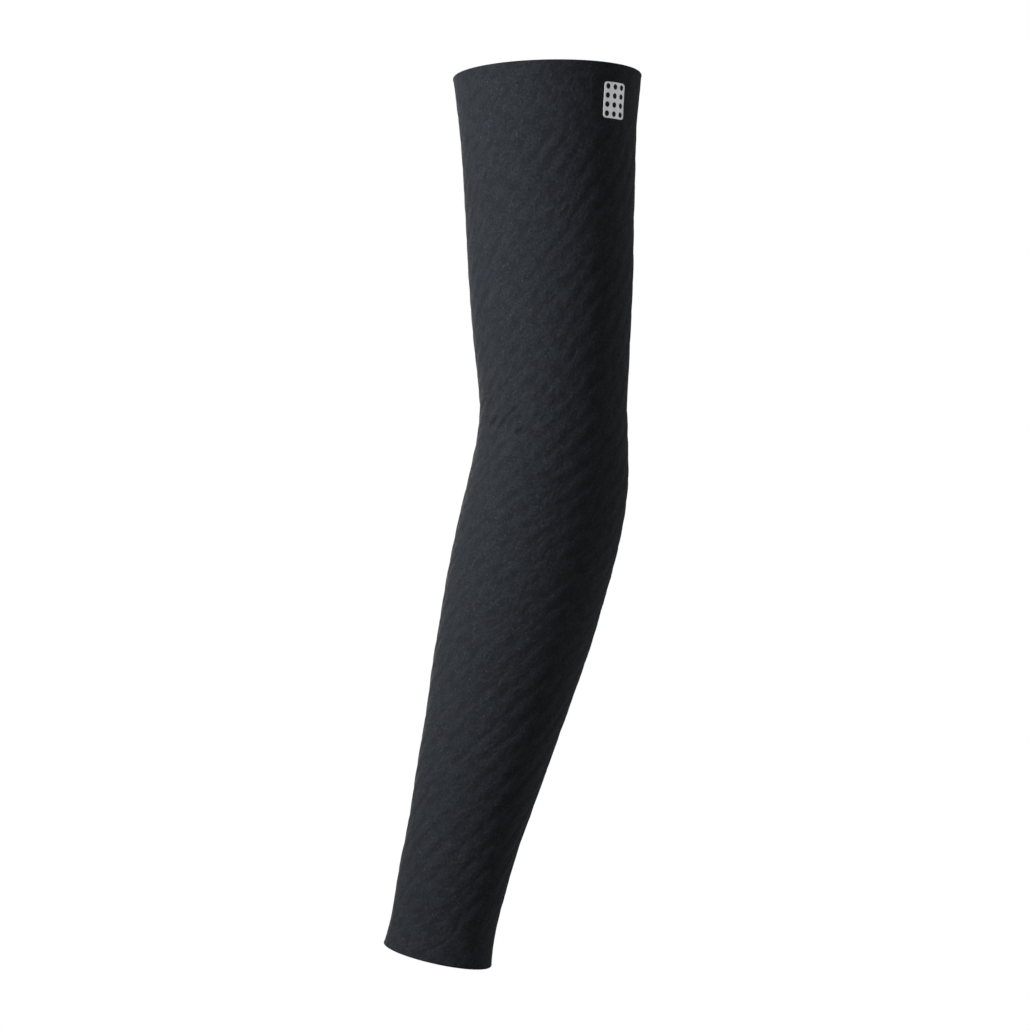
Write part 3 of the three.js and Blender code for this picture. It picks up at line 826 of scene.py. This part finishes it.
def knit_material(name, look, valley_knit_and_shade, tint):
    """Matt synthetic knit: dark yarn with darker gaps between the stitches, a tone for each stitch, slow
    unevenness, pale flecks, rib valleys darkened partly by their open knit and partly by painted shade,
    painted shade in the hollows of the puckers, a painted shadow in the creases, and a soft fuzz that
    shows as sheen."""
    material, table, shader = new_material(name)
    cloth = table.add("ShaderNodeUVMap", uv_map="cloth").outputs["UV"]
    stitches = {"Cloth": cloth, "Wale": look.wale, "Course": look.course, "Fleck Share": FLECK_SHARE}
    knit = table.add("ShaderNodeGroup", stitches, node_tree=knit_group()).outputs
    dye = table.add("ShaderNodeGroup", {"Cloth": cloth}, node_tree=blotch_group()).outputs
    rib = table.add("ShaderNodeAttribute", attribute_name="rib").outputs["Fac"]
    # The rib valleys are darker, partly from their open knit and partly from painted shade
    dark = table.math("MULTIPLY", table.eased(rib, 0.1, -0.9), valley_knit_and_shade)
    darkened_by = (
        (knit["Gap"], GAP_DARKNESS),
        (knit["Tone"], STITCH_DARKNESS),
        (dye["Tone"], DYE_DARKNESS),
        # Painted shade in the hollows of the puckers
        (table.eased(knit["Pucker"], 0.55, 0.0), PUCKER_HOLLOW_PAINTED_SHADE),
    )
    for value, share in darkened_by:
        dark = table.math("MULTIPLY_ADD", value, share, dark)
    dark = table.math("MINIMUM", dark, 1.0)
    tinted = table.mix(dye["Tint"], look.yarn, tint)
    colour = table.mix(dark, tinted, look.shade)
    colour = table.mix(table.math("MULTIPLY", knit["Fleck"], FLECK_STRENGTH), colour, look.fleck)
    # Painted shadow in the elbow's creases, darker where they are deeper
    crease = table.add("ShaderNodeAttribute", attribute_name="crease").outputs["Fac"]
    shadow = table.math("MULTIPLY", table.eased(crease, 0.08, 0.4), CREASE_SHADOW)
    fuzz = table.noise(cloth, FUZZ_SCALE, 2.0)
    height = table.math("MULTIPLY_ADD", fuzz, FUZZ_HEIGHT, knit["Height"])
    height = table.math("MULTIPLY_ADD", knit["Pucker"], FINE_PUCKER_HEIGHT, height)
    table.fill(shader, {
        "Base Color": table.mix(shadow, colour, PAINTED_CREASE_SHADOW),
        "Normal": table.bump(height, 0.55, STITCH_HEIGHT),
        "Roughness": table.math("MULTIPLY_ADD", knit["Tone"], 0.12, 0.80),
        "Specular IOR Level": 0.25,
        "Sheen Weight": 0.06,
        "Sheen Roughness": 0.45,
        "Sheen Tint": (1.0, 0.98, 0.95, 1),
    })
    return material


# The thread's plies, the film's beads and wear, and the film's painted glow, which stands in for the light
# that it sends back
PLY_SCALE = 900.0
PLY_HEIGHT = 0.05 * MM
BEAD_SCALE = 6500.0
BEAD_HEIGHT = 0.03 * MM
BEAD_DULLNESS = 0.25
WEAR_SCALE = 420.0
WEAR_DULLNESS = 0.35
DULL_FILM = (0.34, 0.35, 0.365, 1)
PAINTED_FILM_GLOW = 0.42


def thread_material(look):
    """Twisted polyester thread: thin slanting stripes from its twist, and a faint gloss."""
    material, table, shader = new_material("seam_thread")
    place = table.add("ShaderNodeTexCoord").outputs["Object"]
    twist = table.add("ShaderNodeTexWave", {"Vector": place, "Scale": PLY_SCALE, "Distortion": 1.5},
                      bands_direction="DIAGONAL")
    stripes = twist.outputs["Fac"]
    table.fill(shader, {
        "Base Color": table.mix(stripes, look.thread, look.shade),
        "Normal": table.bump(stripes, 0.5, PLY_HEIGHT),
        "Roughness": 0.6,
        "Sheen Weight": 0.1,
    })
    return material


def film_material(look):
    """Reflective film that is bonded to the cloth: silver grey with a fine grain of glass beads, satin, and
    a low painted glow from emission, which stands in for the light that it sends straight back to where it
    comes from."""
    material, table, shader = new_material("reflective_film")
    place = table.add("ShaderNodeTexCoord").outputs["Object"]
    beads = table.add("ShaderNodeTexVoronoi", {"Vector": place, "Scale": BEAD_SCALE})
    grain = table.eased(beads.outputs["Distance"], 0.0, 0.9)
    worn = table.eased(table.noise(place, WEAR_SCALE, 4.0), 0.45, 0.75)
    dull = table.math("MULTIPLY", worn, WEAR_DULLNESS)
    dull = table.math("MULTIPLY_ADD", grain, BEAD_DULLNESS, dull)
    colour = table.mix(dull, look.film, DULL_FILM)
    table.fill(shader, {
        "Base Color": colour,
        "Normal": table.bump(grain, 0.3, BEAD_HEIGHT),
        "Roughness": table.math("MULTIPLY_ADD", grain, 0.2, 0.38),
        # Painted glow: emission in the film's own colour, standing in for the light that it sends back
        "Emission Color": colour,
        "Emission Strength": PAINTED_FILM_GLOW,
    })
    return material


# The floor: the two tones of its colour, and how many corners it has
FLOOR_TONES = (0.80, 0.80, 0.80, 1), (0.72, 0.72, 0.72, 1)
FLOOR_CORNERS = 64


def floor_material():
    """A white floor for the camera, so that it runs on into the backdrop, and a pale one for light."""
    material, table, shader = new_material("pale_floor")
    output = next(node for node in material.node_tree.nodes if node.bl_idname == "ShaderNodeOutputMaterial")
    place = table.add("ShaderNodeTexCoord").outputs["Object"]
    colour = table.mix(table.noise(place, 3.0, 4.0), *FLOOR_TONES)
    table.fill(shader, {"Base Color": colour, "Roughness": 0.9})
    white = table.add("ShaderNodeEmission", {"Color": (1, 1, 1, 1), "Strength": 1.0})
    seen = table.add("ShaderNodeLightPath").outputs["Is Camera Ray"]
    sides = {0: seen, 1: shader.outputs["BSDF"], 2: white.outputs["Emission"]}
    table.fill(output, {"Surface": table.add("ShaderNodeMixShader", sides).outputs["Shader"]})
    return material


def make_floor(stage):
    """A round floor far below the sleeve, which is held up at its upper opening: one face whose corners go
    round a circle."""
    turn = TAU * np.arange(FLOOR_CORNERS) / FLOOR_CORNERS
    rim = np.stack([np.cos(turn), np.sin(turn), np.zeros(FLOOR_CORNERS)], axis=-1) * stage.floor_radius
    mesh = bpy.data.meshes.new("floor")
    mesh.from_pydata(rim + (0, 0, stage.floor_height), [], [list(range(FLOOR_CORNERS))])
    floor = new_object("floor", mesh)
    mesh.materials.append(floor_material())


def make_surroundings(stage):
    """White to the camera. As light it is dim, and a little brighter behind the sleeve than on the camera's
    side."""
    world = bpy.data.worlds.new("studio")
    bpy.context.scene.world = world
    world.use_nodes = True
    world.node_tree.nodes.clear()
    table = NodeTable(world.node_tree)
    direction = table.add("ShaderNodeTexCoord").outputs["Generated"]
    axes = table.add("ShaderNodeSeparateXYZ", {0: direction}).outputs
    inputs = {"Value": axes["Y"], "From Min": 0.0, "From Max": 1.0,
              "To Min": stage.front_fill, "To Max": stage.back_fill}
    level = table.add("ShaderNodeMapRange", inputs, interpolation_type="SMOOTHSTEP").outputs["Result"]
    seen = table.add("ShaderNodeLightPath").outputs["Is Camera Ray"]
    strength = table.math("MAXIMUM", seen, level)
    light = table.add("ShaderNodeBackground", {"Color": (1, 1, 1, 1), "Strength": strength})
    table.add("ShaderNodeOutputWorld", {"Surface": light.outputs["Background"]})


def make_light(name, azimuth, height, distance, size, power):
    """A square soft box that faces the sleeve's middle, and that the camera doesn't see. Its azimuth goes
    from the front toward +X, and its height is an angle above the horizon."""
    low, high = CAD_BOX
    target = (low + high) / 2
    flat = math.cos(height)
    towards = Vector((flat * math.sin(azimuth), -flat * math.cos(azimuth), math.sin(height)))
    light = bpy.data.lights.new(name, "AREA")
    light.size = size
    light.energy = power
    lamp = new_object(name, light)
    lamp.visible_camera = False
    lamp.location = target + towards * distance
    lamp.rotation_euler = (-towards).to_track_quat("-Z", "Y").to_euler()


def make_lights(stage):
    """The key light on the crook's side of the camera, and broad level lights on the elbow's side and
    behind."""
    make_light("key_light", stage.key_azimuth, stage.key_height, stage.key_distance, stage.key_size,
               stage.key_power)
    far = stage.far_distance, stage.far_size
    make_light("side_light", stage.side_azimuth, 0, *far, stage.side_power)
    make_light("rear_light", stage.rear_azimuth, 0, *far, stage.rear_power)


def make_camera(stage):
    """A level camera that looks along +Y."""
    data = bpy.data.cameras.new("camera")
    data.lens = stage.lens
    data.sensor_width = 36
    camera = new_object("camera", data)
    camera.location = (stage.camera_side, -stage.camera_distance, stage.camera_height)
    camera.rotation_euler = (math.pi / 2, 0, 0)
    bpy.context.scene.camera = camera


def dress(piece, material, slot, *nodes):
    """Gives a piece its material, fixes it to the body and hides the solids that it stands for; slot is not
    used.
    """
    piece.data.materials.append(material)
    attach(piece, BODY)
    if nodes:
        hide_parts(*nodes)


def scene_settings(context):
    """The sleeve's form, its sizes and its look, from the scene's own settings."""
    scene = context.scene
    return SleeveForm(scene.sleeve_sizes, scene.knit_look), scene.sleeve_sizes, scene.knit_look


class ARMSLEEVE_OT_ribbed_sleeve(bpy.types.Operator):
    """Make the ribbed knit tube between the bands"""

    bl_idname = "arm_sleeve.ribbed_sleeve"
    bl_label = "Ribbed sleeve"

    def execute(self, context):
        form, sizes, look = scene_settings(context)
        piece = cloth_tube("ribbed_sleeve", form, sizes, look, *body_profile(form, sizes))
        material = knit_material("ribbed_knit", look, RIB_VALLEY_KNIT_AND_SHADE, TINT_OF_RIBS)
        dress(piece, material, "ribbed_knit", "sleeve_body")
        return {"FINISHED"}


class ARMSLEEVE_OT_bands(bpy.types.Operator):
    """Make the plain knit bands at both ends"""

    bl_idname = "arm_sleeve.bands"
    bl_label = "Upper and lower bands"

    def execute(self, context):
        form, sizes, look = scene_settings(context)
        material = knit_material("band_knit", look, BAND_VALLEY_KNIT_AND_SHADE, TINT_OF_BANDS)
        upper = band_profile(sizes, sizes.upper_band_height, 0.0, False)
        lower = band_profile(sizes, sizes.lower_band_height, form.length, True)
        piece = cloth_tube("upper_band_knit", form, sizes, look, *upper)
        dress(piece, material, "band_knit", "upper_band")
        piece = cloth_tube("lower_band_knit", form, sizes, look, *lower)
        dress(piece, material, "band_knit", "lower_band")
        return {"FINISHED"}


class ARMSLEEVE_OT_seam_stitches(bpy.types.Operator):
    """Make the thread of the flat seam"""

    bl_idname = "arm_sleeve.seam_stitches"
    bl_label = "Seam stitches"

    def execute(self, context):
        form, sizes, look = scene_settings(context)
        piece = make_seam_stitches(form, sizes, look)
        dress(piece, thread_material(look), "band_knit")
        return {"FINISHED"}


class ARMSLEEVE_OT_reflective_patch(bpy.types.Operator):
    """Make the pierced reflective patch on the upper band"""

    bl_idname = "arm_sleeve.reflective_patch"
    bl_label = "Reflective patch"

    def execute(self, context):
        form, sizes, look = scene_settings(context)
        piece = make_patch(form, sizes, look, context.scene.patch_sizes)
        dress(piece, film_material(look), "reflective_film", "reflective_mark")
        return {"FINISHED"}


class ARMSLEEVE_OT_stage(bpy.types.Operator):
    """Set the floor, the light and the camera"""

    bl_idname = "arm_sleeve.stage"
    bl_label = "Studio stage"

    def execute(self, context):
        stage = context.scene.stage_look
        context.scene.view_settings.view_transform = "Standard"
        make_camera(stage)
        make_surroundings(stage)
        make_lights(stage)
        make_floor(stage)
        return {"FINISHED"}


OPERATORS = (
    ARMSLEEVE_OT_stage,
    ARMSLEEVE_OT_ribbed_sleeve,
    ARMSLEEVE_OT_bands,
    ARMSLEEVE_OT_seam_stitches,
    ARMSLEEVE_OT_reflective_patch,
)


class ARMSLEEVE_PT_pieces(bpy.types.Panel):
    """The pieces of the arm sleeve, in the 3D view's sidebar"""

    bl_idname = "ARMSLEEVE_PT_pieces"
    bl_label = "Arm sleeve"
    bl_space_type = "VIEW_3D"
    bl_region_type = "UI"
    bl_category = PANEL_TAB

    def draw(self, context):
        for operator in OPERATORS:
            self.layout.operator(operator.bl_idname)


SETTINGS = {
    "sleeve_sizes": SleeveSizes,
    "knit_look": KnitLook,
    "patch_sizes": PatchSizes,
    "stage_look": StageLook,
}


def register():
    for name, kind in SETTINGS.items():
        bpy.utils.register_class(kind)
        setattr(bpy.types.Scene, name, PointerProperty(type=kind))
    for kind in (*OPERATORS, ARMSLEEVE_PT_pieces):
        bpy.utils.register_class(kind)


def unregister():
    for kind in (ARMSLEEVE_PT_pieces, *reversed(OPERATORS)):
        bpy.utils.unregister_class(kind)
    for name, kind in reversed(SETTINGS.items()):
        delattr(bpy.types.Scene, name)
        bpy.utils.unregister_class(kind)


def main():
    """Registers the settings, operators and panel, and makes every piece and the stage."""
    register()
    for operator in OPERATORS:
        group, name = operator.bl_idname.split(".")
        getattr(getattr(bpy.ops, group), name)()


if __name__ == "__main__":
    main()
